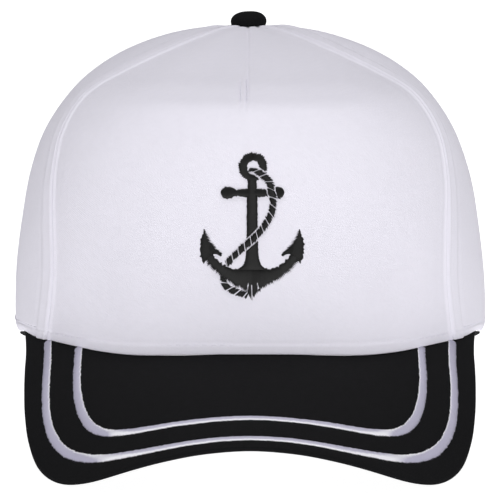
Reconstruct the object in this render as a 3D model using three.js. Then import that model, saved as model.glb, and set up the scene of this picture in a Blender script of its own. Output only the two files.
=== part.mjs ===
// Five-panel cap with a curved peak, an anchor stitched on its front panel and an
// arch-shaped opening with a cloth strap behind. Millimetres, +Z up.
//
// The cap is built in its own frame: the crown's rim lies in the plane z = 0, the front
// looks along -Y, and x runs to the right of someone who looks at the front. A bearing
// is measured round the crown from the front, a climb runs from 0 at the rim to 1 at
// the top. The finished cap is then tipped back until it rests on its peak's corners
// and the back of its rim.

import * as THREE from 'three';
import { mergeVertices } from 'three/addons/utils/BufferGeometryUtils.js';

// Crown
const crownHalfWidth = 88.6;
const crownFore = 99;
const crownAft = 98;
const crownHeight = 113.8;
const clothWall = 1.6;
const seamGap = 0.4; // between neighbouring panels
const seat = 0.3; // between a piece and what carries it
const rimLift = 2.2; // how far the rim's wave rises over the peak's ends
const rimFade = 12; // the wave dies out this far above and ahead of the rim
const tipHole = 3.2; // half width of the hole between the panels' tips, under the button

// Sweatband
const bandWidth = 32;
const bandWall = 1.2;
const bandEase = 0.6; // the band and the strap lie this far off the panels

// Opening at the back and its strap
const archHalfWidth = 38;
const archHeight = 50;
const strapWidth = 22;
const strapWall = 1.4;
const strapLap = 15; // lies over the back panel on each side of the opening

// Button
const buttonRadius = 7;
const buttonHeight = 5.4;
const postRadius = 1.1;

// Peak
const peakReach = 64; // from the rim's front to the peak's front edge
const peakRootBearing = 75; // degrees, where the peak's ends meet the rim
const peakWall = 2.6;
const peakLip = 1.1; // height of the peak's outermost edge
const peakRound = 0.1; // the edge starts this far below the upper face
const peakBevel = 4; // the lower face rises towards the edge over this width
// How steeply the peak falls ahead of the rim: in the middle, and what is added
// towards its sides, as slopes
const peakFall = { middle: 0.352, arch: 0.187, shoulder: 0.406, side: -0.989, curl: 0.236 };
const stripeWidth = 2.8;
const stripeWall = 0.6;

// Anchor and rope stitched on the front panel
const emblemHeight = 50;
const emblemRise = 20; // its foot above the rim
const emblemShift = 0.9; // to the right of the middle
const stitchWall = 0.8;
const stitchGap = 0.35;
const ropeWidth = 2.3;

// How far the cloth is pressed flat where the cap rests
const restPress = 0.9;

// Crown sections from the rim up. Rise is a share of the crown's height, half of its
// half width, fore and middle of its fore, aft of its aft. Square is the exponent of
// the section's front. The last two columns are the seams' bearings in degrees.
const sections = [
  //  rise   half   fore   aft  middle square front back
  [0.000, 0.989, 0.990, 0.980, 0.00, 2.30, 49.8, 110.0],
  [0.053, 1.000, 1.000, 1.000, 0.00, 2.30, 48.2, 109.0],
  [0.212, 0.992, 0.998, 1.000, 0.00, 2.28, 46.7, 107.5],
  [0.375, 0.966, 0.978, 0.969, 0.00, 2.25, 49.3, 105.5],
  [0.521, 0.929, 0.944, 0.918, 0.00, 2.22, 53.2, 102.5],
  [0.662, 0.865, 0.884, 0.821, 0.00, 2.18, 56.6, 99.0],
  [0.777, 0.767, 0.798, 0.699, 0.01, 2.12, 56.3, 98.0],
  [0.856, 0.659, 0.606, 0.582, 0.02, 2.05, 50.3, 99.5],
  [0.922, 0.518, 0.414, 0.449, 0.03, 2.00, 44.0, 102.5],
  [0.971, 0.345, 0.222, 0.301, 0.04, 2.00, 42.5, 105.0],
  [0.993, 0.173, 0.091, 0.163, 0.05, 2.00, 46.0, 106.0],
  [1.000, 0.000, 0.000, 0.000, 0.05, 2.00, 46.0, 106.0],
];

// Height of the rim's wave at even steps from the front round to waveEnd, as shares of
// its lift
const rimWaves = [0.04, -0.01, -0.24, -0.43, -0.25, 0.18, 0.46, 0.68, 1.00, 0.36, 0.06, 0];
const waveEnd = 88; // degrees, the rim is level from here to the back

// Peak in plan, from the middle of the front to an end of its root. Side is a share of
// the root's half width, ahead of the way from the root's ends to the front edge.
const peakOutline = [
  // side  ahead
  [0.000, 1.000],
  [0.159, 1.000],
  [0.318, 0.989],
  [0.470, 0.959],
  [0.611, 0.912],
  [0.731, 0.846],
  [0.821, 0.764],
  [0.872, 0.670],
  [0.899, 0.572],
  [0.914, 0.473],
  [0.924, 0.374],
  [0.932, 0.275],
  [0.946, 0.176],
  [0.965, 0.082],
  [0.988, 0.010],
];
const outerStripe = [
  // side  ahead
  [0.000, 0.961],
  [0.122, 0.961],
  [0.243, 0.957],
  [0.362, 0.943],
  [0.474, 0.914],
  [0.576, 0.873],
  [0.663, 0.820],
  [0.732, 0.760],
  [0.781, 0.690],
  [0.808, 0.617],
  [0.821, 0.542],
  [0.827, 0.466],
  [0.830, 0.391],
  [0.835, 0.312],
];
const innerStripe = [
  // side  ahead
  [0.000, 0.863],
  [0.097, 0.864],
  [0.192, 0.864],
  [0.287, 0.859],
  [0.381, 0.849],
  [0.470, 0.829],
  [0.549, 0.797],
  [0.609, 0.752],
  [0.649, 0.698],
  [0.674, 0.641],
  [0.689, 0.583],
  [0.697, 0.524],
  [0.700, 0.465],
  [0.701, 0.406],
];

// Anchor, as shares of its height from its foot. Arms: the outer and the inner border
// of the left arm, from the fluke's tip to the middle.
const armBorders = [
  // outer side, up; inner side, up
  [-0.338, 0.464, -0.330, 0.464],
  [-0.356, 0.390, -0.292, 0.400],
  [-0.360, 0.320, -0.248, 0.344],
  [-0.340, 0.246, -0.212, 0.296],
  [-0.308, 0.244, -0.254, 0.266],
  [-0.276, 0.212, -0.224, 0.236],
  [-0.208, 0.162, -0.166, 0.202],
  [-0.132, 0.112, -0.104, 0.186],
  [-0.064, 0.052, -0.060, 0.190],
  [0.000, 0.000, 0.000, 0.212],
];
const ring = { side: 0.005, up: 0.894, outer: 0.097, inner: 0.046 };
// Half width of the shank going down
const shankWidths = [
  // up     half
  [0.795, 0.030],
  [0.640, 0.036],
  [0.400, 0.038],
  [0.260, 0.040],
  [0.236, 0.050],
];
// Half width of the stock from the shank out to its ball
const stockWidths = [
  // side   half
  [0.045, 0.028],
  [0.120, 0.024],
  [0.140, 0.036],
  [0.176, 0.042],
  [0.206, 0.034],
  [0.222, 0.010],
];
const stockUp = 0.716;
// Rope, down its middle line
const ropeUpper = [
  // side   up
  [0.148, 0.662],
  [0.146, 0.600],
  [0.138, 0.540],
  [0.098, 0.468],
  [0.060, 0.428],
];
const ropeMiddle = [
  // side   up
  [-0.058, 0.338],
  [-0.100, 0.300],
  [-0.135, 0.262],
  [-0.150, 0.236],
];
const ropeLower = [
  // side   up
  [-0.210, 0.120],
  [-0.188, 0.072],
  [-0.140, 0.036],
  [-0.080, 0.014],
];

const degrees = Math.PI / 180;
const probe = 1e-3; // step for measuring a slope

// A smooth curve through one column of a table, against its first column
function columnCurve(table, column) {
  return new THREE.SplineCurve(table.map((row) => new THREE.Vector2(row[0], row[column])));
}
const halfCurve = columnCurve(sections, 1);
const foreCurve = columnCurve(sections, 2);
const aftCurve = columnCurve(sections, 3);
const middleCurve = columnCurve(sections, 4);
const squareCurve = columnCurve(sections, 5);
const frontSeamCurve = columnCurve(sections, 6);
const backSeamCurve = columnCurve(sections, 7);

const riseAt = (climb) => halfCurve.getPoint(climb).x * crownHeight;

// The highest climb, from a lower one up, that is still below a place
function climbWhere(from, isBelow) {
  let low = from;
  let high = 1;
  for (let step = 0; step < 40; step++) {
    const middle = (low + high) / 2;
    if (isBelow(middle)) low = middle;
    else high = middle;
  }
  return (low + high) / 2;
}

// The climb at which the crown has a rise, and the one at which the panels' tips end
const climbAt = (rise) => climbWhere(0, (climb) => riseAt(climb) < rise);
const topClimb = climbWhere(0.5, (climb) => halfCurve.getPoint(climb).y * crownHalfWidth > tipHole);

// The rim's gentle wave, at a bearing in degrees
const waveCurve = new THREE.SplineCurve(rimWaves.map((height, step) => new THREE.Vector2(step, height)));
function rimWave(bearing) {
  return rimLift * waveCurve.getPoint(Math.min(1, Math.abs(bearing) / waveEnd)).y;
}

// The crown's outer face at a bearing in degrees and a climb
function crownFace(bearing, climb) {
  const angle = bearing * degrees;
  const across = Math.sin(angle);
  const ahead = Math.cos(angle);
  const reach = ahead > 0 ? foreCurve.getPoint(climb).y * crownFore : aftCurve.getPoint(climb).y * crownAft;
  const square = ahead > 0 ? squareCurve.getPoint(climb).y : 2;
  const half = halfCurve.getPoint(climb).y * crownHalfWidth;
  const spread = (Math.abs(across) / half) ** square + (Math.abs(ahead) / reach) ** square;
  const radius = spread ** (-1 / square);
  const rise = riseAt(climb);
  const fade = Math.max(0, 1 - rise / rimFade) ** 2;
  return new THREE.Vector3(
    radius * across,
    middleCurve.getPoint(climb).y * crownFore - radius * ahead,
    rise + rimWave(bearing) * fade,
  );
}

// A point at a distance out of the crown's outer face, or into it when out is negative
function crownPoint(bearing, climb, out) {
  const low = Math.min(climb, 1 - 2 * probe);
  const face = crownFace(bearing, climb);
  const round = crownFace(bearing + 1, low).sub(crownFace(bearing - 1, low));
  const up = crownFace(bearing, low + probe).sub(crownFace(bearing, Math.max(0, low - probe)));
  return face.addScaledVector(round.cross(up).normalize(), out);
}

// A closed solid between two grids of points that have the same rows and columns
function closedSolid(front, back) {
  const rows = front.length;
  const columns = front[0].length;
  const points = [...front.flat(), ...back.flat()];
  const at = (side, row, column) => side * rows * columns + row * columns + column;
  const index = [];
  // Four corners make two triangles, split along the shorter diagonal
  const quad = (a, b, c, d) => {
    const short = points[a].distanceTo(points[c]) <= points[b].distanceTo(points[d]);
    index.push(...(short ? [a, b, c, a, c, d] : [b, c, d, b, d, a]));
  };
  for (let row = 0; row + 1 < rows; row++) {
    for (let column = 0; column + 1 < columns; column++) {
      quad(at(0, row, column), at(0, row, column + 1), at(0, row + 1, column + 1), at(0, row + 1, column));
      quad(at(1, row, column), at(1, row + 1, column), at(1, row + 1, column + 1), at(1, row, column + 1));
    }
  }
  for (let row = 0; row + 1 < rows; row++) {
    const last = columns - 1;
    quad(at(0, row, 0), at(0, row + 1, 0), at(1, row + 1, 0), at(1, row, 0));
    quad(at(0, row, last), at(1, row, last), at(1, row + 1, last), at(0, row + 1, last));
  }
  for (let column = 0; column + 1 < columns; column++) {
    const last = rows - 1;
    quad(at(0, 0, column), at(1, 0, column), at(1, 0, column + 1), at(0, 0, column + 1));
    quad(at(0, last, column), at(0, last, column + 1), at(1, last, column + 1), at(1, last, column));
  }
  return facedOut(points, index);
}

// A closed ring-shaped solid swept from closed cross-sections
function closedLoop(sectionsRound) {
  const count = sectionsRound.length;
  const sides = sectionsRound[0].length;
  const index = [];
  for (let step = 0; step < count; step++) {
    const next = (step + 1) % count;
    for (let side = 0; side < sides; side++) {
      const other = (side + 1) % sides;
      const a = step * sides + side;
      const b = next * sides + side;
      const c = next * sides + other;
      const d = step * sides + other;
      index.push(a, b, c, a, c, d);
    }
  }
  return facedOut(sectionsRound.flat(), index);
}

// A geometry whose faces all point out: the index is turned over if its volume is negative
function facedOut(points, index) {
  let volume = 0;
  for (let i = 0; i < index.length; i += 3) {
    const [a, b, c] = [points[index[i]], points[index[i + 1]], points[index[i + 2]]];
    volume += a.dot(b.clone().cross(c));
  }
  if (volume < 0) index.reverse();
  const geometry = new THREE.BufferGeometry();
  geometry.setAttribute('position', new THREE.Float32BufferAttribute(points.flatMap((p) => p.toArray()), 3));
  geometry.setIndex(index);
  return mergeVertices(geometry, 1e-4);
}

const range = (count) => Array.from({ length: count + 1 }, (_, i) => i / count);
const mix = THREE.MathUtils.lerp;

// Rest: the cap tips back until its peak and the back of its rim are equally low.
// Both are sampled along their lower faces.
const peakRoot = crownFace(peakRootBearing, 0);
const peakTipAhead = foreCurve.getPoint(0).y * crownFore + peakReach;

// A plan point of the peak from its table's shares
function peakPlan(side, ahead) {
  return new THREE.Vector2(side * peakRoot.x, mix(peakRoot.y, -peakTipAhead, ahead));
}

// The peak's upper face at a plan point
function peakFace(x, y) {
  const half = halfCurve.getPoint(0).y * crownHalfWidth;
  const fore = foreCurve.getPoint(0).y * crownFore;
  const square = squareCurve.getPoint(0).y;
  const inside = Math.max(0, 1 - (Math.abs(x) / half) ** square);
  const rootY = -fore * inside ** (1 / square);
  const ahead = Math.max(0, rootY - y);
  const side = Math.abs(x / peakRoot.x);
  const slope = peakFall.middle + peakFall.arch * side ** 2 + peakFall.shoulder * side ** 4
    + peakFall.side * side ** 6 + peakFall.curl * side ** 2 * (ahead / peakReach);
  const bearing = Math.atan2(Math.abs(x), -y) / degrees;
  return rimWave(bearing) * Math.exp(-((ahead / rimFade) ** 2)) - seat - slope * ahead;
}

// A point at a depth below the peak's upper face, square to it
function peakPoint(x, y, depth) {
  const acrossSlope = (peakFace(x + 1, y) - peakFace(x - 1, y)) / 2;
  const aheadSlope = (peakFace(x, y + 1) - peakFace(x, y - 1)) / 2;
  const steepness = Math.min(Math.hypot(1, acrossSlope, aheadSlope), 1.5);
  return new THREE.Vector3(x, y, peakFace(x, y) - depth * steepness);
}

const outlineCurve = new THREE.SplineCurve(peakOutline.map(([side, ahead]) => peakPlan(side, ahead)));

// The points of one rib of the peak, from under the crown's wall to the edge. The short
// ribs at the peak's ends are thinner.
function peakRib(along) {
  const inner = crownPoint(along * peakRootBearing, 0, -clothWall);
  const tucked = new THREE.Vector2(inner.x, inner.y);
  const edge = outlineCurve.getPoint(Math.abs(along));
  edge.x *= Math.sign(along) || 1;
  const length = tucked.distanceTo(edge);
  const root = Math.min(0.3, clothWall / length);
  const bevel = Math.min(0.4, peakBevel / length);
  const shares = [0, ...range(6).map((share) => mix(root, 1 - bevel, share)), 1];
  const plan = shares.map((share) => tucked.clone().lerp(edge, share));
  const rim = plan.length - 1;
  const wall = Math.min(peakWall, peakLip + length * 0.12);
  return {
    upper: plan.map((p, i) => peakPoint(p.x, p.y, i === rim ? peakRound : 0)),
    lower: plan.map((p, i) => peakPoint(p.x, p.y, i === rim ? peakRound + peakLip : wall)),
  };
}
const peakRibs = range(50).map((share) => peakRib(share * 2 - 1));

// The lowest line of the strap, behind
const rearBearing = (side) => 180 - Math.asin(Math.min(1, side / (aftCurve.getPoint(0).y * crownAft))) / degrees;
const strapEnd = rearBearing(archHalfWidth + strapLap);
const strapOut = bandEase + strapWall;

function lowestAt(tilt) {
  const height = (p) => p.z * Math.cos(tilt) - p.y * Math.sin(tilt);
  const peakLow = Math.min(...peakRibs.flatMap((rib) => rib.lower.map(height)));
  const rearLow = height(crownPoint(180, 0, strapOut));
  return { peakLow, rearLow };
}
let tiltLow = 0;
let tiltHigh = Math.PI / 4;
for (let step = 0; step < 50; step++) {
  const middle = (tiltLow + tiltHigh) / 2;
  const { peakLow, rearLow } = lowestAt(middle);
  if (peakLow < rearLow) tiltLow = middle;
  else tiltHigh = middle;
}
const restTilt = (tiltLow + tiltHigh) / 2;
const floorDown = lowestAt(restTilt).rearLow + restPress;

// Cloth below the floor is pressed up to it
function pressed(point) {
  const normal = new THREE.Vector3(0, -Math.sin(restTilt), Math.cos(restTilt));
  const under = Math.min(0, normal.dot(point) - floorDown);
  return point.addScaledVector(normal, -under);
}
const pressedGrid = (grid) => grid.map((row) => row.map(pressed));

// Crown panels
const panelRows = 20;

// A panel between two seams. Its lower border is lifted to the given rise.
function panel(columns, seamA, seamB, lowerRise = () => 0) {
  const grid = (out) => range(panelRows).map((up) => columns.map((across) => {
    const bottom = climbAt(lowerRise(mix(seamA(0), seamB(0), across)));
    const climb = mix(bottom, topClimb, up);
    const flat = crownFace(90, climb).x;
    const half = seamGap / 2 / flat / degrees;
    return crownPoint(mix(seamA(climb) + half, seamB(climb) - half, across), climb, out);
  }));
  return closedSolid(pressedGrid(grid(0)), pressedGrid(grid(-clothWall)));
}
const frontSeam = (climb) => frontSeamCurve.getPoint(climb).y;
const backSeam = (climb) => backSeamCurve.getPoint(climb).y;
const rear = () => 180;

// The opening's edge: how high the back panel starts at a bearing on the rim
function archRise(bearing) {
  const side = Math.abs(crownFace(bearing, 0).x) / archHalfWidth;
  return side < 1 ? archHeight * Math.sqrt(1 - side ** 2) : 0;
}

// Columns of a back panel: even up to the opening's foot, then closer where its edge is steep
function backColumns() {
  const foot = (rearBearing(archHalfWidth) - backSeam(0)) / (180 - backSeam(0));
  const beside = range(6).map((share) => share * foot);
  const over = range(7).slice(1).map((share) => mix(foot, 1, 1 - Math.cos(share * Math.PI / 2)));
  return [...beside, ...over];
}

const mirrored = (seam) => (climb) => -seam(climb);

function frontPanel() {
  return panel(range(22), mirrored(frontSeam), frontSeam);
}

function sidePanel(side) {
  return side > 0
    ? panel(range(10), frontSeam, backSeam)
    : panel(range(10), mirrored(backSeam), mirrored(frontSeam));
}

function backPanel(side) {
  const columns = backColumns();
  return side > 0
    ? panel(columns, backSeam, rear, archRise)
    : panel(columns.map((share) => 1 - share).reverse(), mirrored(rear), mirrored(backSeam), archRise);
}

// A band that follows the crown between two bearings and two rises
function crownBand(from, to, columns, lowRise, highRise, rows, out, wall) {
  const grid = (distance) => range(rows).map((up) => range(columns).map((share) => (
    crownPoint(mix(from, to, share), climbAt(mix(lowRise, highRise, up)), distance)
  )));
  return closedSolid(pressedGrid(grid(out)), pressedGrid(grid(out - wall)));
}

function sweatband() {
  const end = rearBearing(archHalfWidth) - 2;
  return crownBand(-end, end, 48, seat, bandWidth, 5, -clothWall - bandEase, bandWall);
}

function backStrap() {
  return crownBand(strapEnd, 360 - strapEnd, 18, 0, strapWidth, 4, strapOut, strapWall);
}

// Button: a dome with a rolled edge, on a post through the panels' tips
function button() {
  const profile = [
    new THREE.Vector2(0, -clothWall - 1),
    new THREE.Vector2(postRadius, -clothWall - 1),
    new THREE.Vector2(postRadius, 0),
    new THREE.Vector2(buttonRadius * 0.87, 0),
    new THREE.Vector2(buttonRadius * 0.98, buttonHeight * 0.13),
    ...range(6).map((share) => new THREE.Vector2(
      share < 1 ? buttonRadius * Math.cos(share * Math.PI / 2) ** 0.7 : 0,
      buttonHeight * (0.28 + 0.72 * Math.sin(share * Math.PI / 2)),
    )),
  ];
  return new THREE.LatheGeometry(profile, 20);
}

// Peak
function peak() {
  const upper = peakRibs.map((rib) => rib.upper.map((p) => p.clone()));
  const lower = peakRibs.map((rib) => rib.lower.map((p) => p.clone()));
  return closedSolid(pressedGrid(upper), pressedGrid(lower));
}

// A stripe round the peak: a low crowned ridge on a line through the table's points
function peakStripe(table) {
  const half = table.map(([side, ahead]) => peakPlan(side, ahead));
  const other = half.slice(1).reverse().map((p) => new THREE.Vector2(-p.x, p.y));
  const line = new THREE.SplineCurve([...other, ...half]);
  const stations = range(46).map((share) => ({ at: line.getPoint(share), way: line.getTangent(share) }));
  const grid = (raised) => stations.map(({ at, way }) => [-1, -0.5, 0.5, 1].map((across) => {
    const x = at.x - way.y * across * stripeWidth / 2;
    const y = at.y + way.x * across * stripeWidth / 2;
    const crowned = Math.abs(across) < 1 ? stripeWall : stripeWall * 0.5;
    return peakPoint(x, y, -seat - (raised ? crowned : 0));
  }));
  return closedSolid(grid(true), grid(false));
}

// A point over the front panel, from a side and a height up the anchor, as shares of its
// height, and a distance out of the cloth
function emblemPoint(side, up, out) {
  const x = emblemShift + side * emblemHeight;
  const climb = climbAt(emblemRise + up * emblemHeight);
  const ahead = foreCurve.getPoint(climb).y * crownFore;
  const square = squareCurve.getPoint(climb).y;
  const half = halfCurve.getPoint(climb).y * crownHalfWidth;
  const inside = (1 - (Math.abs(x) / half) ** square) ** (1 / square);
  return crownPoint(Math.atan2(x, ahead * inside) / degrees, climb, out);
}

// A stitched ribbon between two borders given as [side, up] points in pairs
function stitched(pairs) {
  const grid = (out) => pairs.map(([a, b]) => [0, 0.5, 1].map((share) => {
    const rounded = out > seat ? out - (share === 0.5 ? 0 : stitchWall * 0.4) : out;
    return emblemPoint(mix(a[0], b[0], share), mix(a[1], b[1], share), rounded);
  }));
  return closedSolid(grid(seat + stitchWall), grid(seat));
}

function anchorArms() {
  const left = armBorders.map(([a, b, c, d]) => [[a, b], [c, d]]);
  const right = left.slice(0, -1).reverse().map(([a, b]) => [[-a[0], a[1]], [-b[0], b[1]]]);
  return stitched([...left, ...right]);
}

function anchorShank() {
  const line = new THREE.SplineCurve(shankWidths.map((row) => new THREE.Vector2(...row)));
  return stitched(range(8).map((share) => line.getPoint(share)).map((p) => [[-p.y, p.x], [p.y, p.x]]));
}

function anchorStock(side) {
  const line = new THREE.SplineCurve(stockWidths.map((row) => new THREE.Vector2(...row)));
  const inner = shankWidths[1][1] + stitchGap / emblemHeight;
  const shift = inner - stockWidths[0][0];
  return stitched(range(10).map((share) => line.getPoint(share)).map((p) => (
    [[side * (p.x + shift), stockUp - p.y], [side * (p.x + shift), stockUp + p.y]]
  )));
}

function anchorRing() {
  const steps = 28;
  return closedLoop(range(steps).slice(0, steps).map((share) => {
    const turn = share * 2 * Math.PI;
    const middle = (ring.outer + ring.inner) / 2;
    const spot = (radius, out) => emblemPoint(
      ring.side + radius * Math.sin(turn), ring.up + radius * Math.cos(turn), seat + out,
    );
    return [
      spot(ring.inner, 0),
      spot(ring.outer, 0),
      spot(ring.outer, stitchWall * 0.6),
      spot(middle, stitchWall),
      spot(ring.inner, stitchWall * 0.6),
    ];
  }));
}

function rope(table) {
  const line = new THREE.SplineCurve(table.map((row) => new THREE.Vector2(...row)));
  const half = ropeWidth / 2 / emblemHeight;
  return stitched(range(12).map((share) => {
    const at = line.getPoint(share);
    const way = line.getTangent(share);
    return [[at.x + way.y * half, at.y - way.x * half], [at.x - way.y * half, at.y + way.x * half]];
  }));
}

// Materials
const cloth = (name, color) => new THREE.MeshStandardMaterial({ name, color, roughness: 0.92, metalness: 0 });
const whiteCloth = cloth('white_cloth', 0xe6e4ed);
const blackCloth = cloth('black_cloth', 0x1b1b1f);
const whiteThread = new THREE.MeshStandardMaterial({
  name: 'white_thread', color: 0xe2dee9, roughness: 0.6, metalness: 0,
});
const blackThread = new THREE.MeshStandardMaterial({
  name: 'black_thread', color: 0x131316, roughness: 0.55, metalness: 0,
});

const cap = new THREE.Group();
function add(name, geometry, material) {
  const mesh = new THREE.Mesh(geometry, material);
  mesh.name = name;
  cap.add(mesh);
  return mesh;
}

add('front_panel', frontPanel(), whiteCloth);
add('side_panel_left', sidePanel(-1), whiteCloth);
add('side_panel_right', sidePanel(1), whiteCloth);
add('back_panel_left', backPanel(-1), whiteCloth);
add('back_panel_right', backPanel(1), whiteCloth);
add('sweatband', sweatband(), whiteCloth);
add('back_strap', backStrap(), whiteCloth);
const dome = add('button', button(), blackCloth);
dome.rotation.x = Math.PI / 2;
dome.position.set(0, middleCurve.getPoint(1).y * crownFore, crownHeight + seat);
add('peak', peak(), blackCloth);
add('peak_stripe_outer', peakStripe(outerStripe), whiteThread);
add('peak_stripe_inner', peakStripe(innerStripe), whiteThread);
add('anchor_ring', anchorRing(), blackThread);
add('anchor_shank', anchorShank(), blackThread);
add('anchor_stock_left', anchorStock(-1), blackThread);
add('anchor_stock_right', anchorStock(1), blackThread);
add('anchor_arms', anchorArms(), blackThread);
add('anchor_rope_upper', rope(ropeUpper), blackThread);
add('anchor_rope_middle', rope(ropeMiddle), blackThread);
add('anchor_rope_lower', rope(ropeLower), blackThread);

// Tipped back to rest on the floor, with the middle of its footprint at the origin
cap.rotation.x = -restTilt;
cap.updateMatrixWorld(true);
const box = new THREE.Box3().setFromObject(cap, true);
cap.position.set(-(box.min.x + box.max.x) / 2, -(box.min.y + box.max.y) / 2, -box.min.z);

const part = new THREE.Group();
part.add(cap);

export default part;
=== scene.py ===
"""Looks of a five-panel cap: twill cloth, seams, stitched stripes and a stitched anchor.

Lengths are in millimetres in the cap's own frame (rim in the plane z = 0, front towards
-y) and become metres in the part's frame when a mesh is made. A bearing is in degrees
from the front round to the back, and a climb is a share of the way up the crown's table.
"""
import math

import bpy
import numpy as np
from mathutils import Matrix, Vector


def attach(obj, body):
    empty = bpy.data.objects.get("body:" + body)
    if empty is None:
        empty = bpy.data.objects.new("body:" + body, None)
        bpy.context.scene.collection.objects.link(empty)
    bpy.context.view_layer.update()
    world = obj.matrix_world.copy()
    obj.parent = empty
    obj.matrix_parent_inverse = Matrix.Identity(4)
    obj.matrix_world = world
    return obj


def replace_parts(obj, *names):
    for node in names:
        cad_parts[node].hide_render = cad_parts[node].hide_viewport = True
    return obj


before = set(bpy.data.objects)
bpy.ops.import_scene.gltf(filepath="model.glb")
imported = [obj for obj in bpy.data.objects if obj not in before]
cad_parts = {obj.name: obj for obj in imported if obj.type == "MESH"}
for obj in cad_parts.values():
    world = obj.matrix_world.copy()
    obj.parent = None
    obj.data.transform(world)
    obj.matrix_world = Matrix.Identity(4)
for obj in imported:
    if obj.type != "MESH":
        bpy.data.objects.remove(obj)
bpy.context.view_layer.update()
random = np.random.default_rng(7)

# Cap sizes, as in the part
CROWN_HALF = 88.6
CROWN_FORE = 99.0
CROWN_AFT = 98.0
CROWN_HEIGHT = 113.8
CLOTH_WALL = 1.6
RIM_LIFT = 2.2
RIM_FADE = 12.0
WAVE_END = 88.0
BAND_WIDTH = 32.0
BAND_WALL = 1.2
BAND_EASE = 0.6
ARCH_HALF = 38.0
ARCH_HEIGHT = 50.0
STRAP_WIDTH = 22.0
STRAP_WALL = 1.4
STRAP_LAP = 15.0
TIP_HOLE = 3.2
PEAK_REACH = 64.0
PEAK_ROOT_BEARING = 75.0
PEAK_WALL = 2.6
PEAK_BEVEL = 4.0
PEAK_FALL = {"middle": 0.352, "arch": 0.187, "shoulder": 0.406, "side": -0.989, "curl": 0.236}
STRIPE_WIDTH = 2.8
EMBLEM_RISE = 20.0
SEAT = 0.3

# Sizes of the looks alone
BUTTON_RADIUS = 7.0
BUTTON_HEIGHT = 5.4
BUTTON_SHIFT = -0.6
BUTTON_TIP = 0.25
BUTTON_SINK = 0.6  # the button pulls the cloth under it down
TIP_DIP = 0.8
TIP_DIP_FADE = (4, 17)
PEAK_LIP = 1.2
PEAK_HEM = 0.7  # the cloth's turned edge stands out from the board
STRIPE_INSET = 0.15
EMBLEM_SHIFT = 0.65
EMBLEM_SEAT = 0.05
FRONT_WIDTH = 170
SIDE_WIDTH = 118
REAR_RADIUS = 97

# Rest: the cap is tipped back and its back is pressed flat. The floor is drawn a little
# lower, under the peak's round corners.
FLOOR_DROP = 1.4
REST_TILT = math.radians(8.962759)
REST_SHIFT = np.array([0.0, 30.7834, 14.9862])

# rise, half, fore, aft, middle, square, front seam, back seam
SECTIONS = np.array([
    [0.000, 0.989, 0.990, 0.980, 0.00, 2.30, 49.8, 110.0],
    [0.053, 1.000, 1.000, 1.000, 0.00, 2.30, 48.2, 109.0],
    [0.212, 0.992, 0.998, 1.000, 0.00, 2.28, 46.7, 107.5],
    [0.375, 0.966, 0.978, 0.969, 0.00, 2.25, 49.3, 105.5],
    [0.521, 0.929, 0.944, 0.918, 0.00, 2.22, 53.2, 102.5],
    [0.662, 0.865, 0.884, 0.821, 0.00, 2.18, 56.6, 99.0],
    [0.777, 0.767, 0.798, 0.699, 0.01, 2.12, 56.3, 98.0],
    [0.856, 0.659, 0.606, 0.582, 0.02, 2.05, 50.3, 99.5],
    [0.922, 0.518, 0.414, 0.449, 0.03, 2.00, 44.0, 102.5],
    [0.971, 0.345, 0.222, 0.301, 0.04, 2.00, 42.5, 105.0],
    [0.993, 0.173, 0.091, 0.163, 0.05, 2.00, 46.0, 106.0],
    [1.000, 0.000, 0.000, 0.000, 0.05, 2.00, 46.0, 106.0],
])
FRONT_SEAM = 6
BACK_SEAM = 7

# The crown's outline at its rim
RIM_HALF = SECTIONS[0, 1] * CROWN_HALF
RIM_FORE = SECTIONS[0, 2] * CROWN_FORE
RIM_AFT = SECTIONS[0, 3] * CROWN_AFT
RIM_SQUARE = SECTIONS[0, 5]

# Height of the rim's wave at even steps from the front round to WAVE_END
RIM_WAVES = np.array([[0.04], [-0.01], [-0.24], [-0.43], [-0.25], [0.18], [0.46], [0.68],
                      [1.00], [0.36], [0.06], [0.0]])

# side, ahead
PEAK_OUTLINE = np.array([
    [0.000, 1.000], [0.159, 1.000], [0.318, 0.989], [0.470, 0.959], [0.611, 0.912],
    [0.731, 0.846], [0.821, 0.764], [0.872, 0.670], [0.899, 0.572], [0.914, 0.473],
    [0.924, 0.374], [0.932, 0.275], [0.946, 0.176], [0.965, 0.082], [0.988, 0.010],
])
OUTER_STRIPE = np.array([
    [0.000, 0.961], [0.122, 0.961], [0.243, 0.957], [0.362, 0.943], [0.474, 0.914],
    [0.576, 0.873], [0.663, 0.820], [0.732, 0.760], [0.781, 0.690], [0.808, 0.617],
    [0.821, 0.542], [0.827, 0.466], [0.830, 0.391], [0.840, 0.285],
])
INNER_STRIPE = np.array([
    [0.000, 0.863], [0.097, 0.864], [0.192, 0.864], [0.287, 0.859], [0.381, 0.849],
    [0.470, 0.829], [0.549, 0.797], [0.609, 0.752], [0.649, 0.698], [0.674, 0.641],
    [0.689, 0.583], [0.697, 0.524], [0.700, 0.465], [0.702, 0.385],
])


# Curves and the crown's surface

def spline(table, share):
    """A smooth curve through a table's rows, the same as the part's."""
    share = np.clip(np.asarray(share, float), 0, 1)
    last = len(table) - 1
    place = last * share
    index = np.minimum(np.floor(place).astype(int), last - 1)
    weight = (place - index)[..., None]
    before = table[np.maximum(index - 1, 0)]
    start = table[index]
    end = table[index + 1]
    after = table[np.minimum(index + 2, last)]
    leave = (end - before) / 2
    reach = (after - start) / 2
    return ((2 * start - 2 * end + leave + reach) * weight**3
            + (3 * end - 3 * start - 2 * leave - reach) * weight**2 + leave * weight + start)


CLIMBS = np.linspace(0, 1, 6001)
RISES = spline(SECTIONS, CLIMBS)[:, 0] * CROWN_HEIGHT
HALVES = spline(SECTIONS, CLIMBS)[:, 1] * CROWN_HALF
TOP_CLIMB = CLIMBS[HALVES > TIP_HOLE][-1]


def climb_at(rise):
    return np.interp(rise, RISES, CLIMBS)


def rise_at(climb):
    return np.interp(climb, CLIMBS, RISES)


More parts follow.
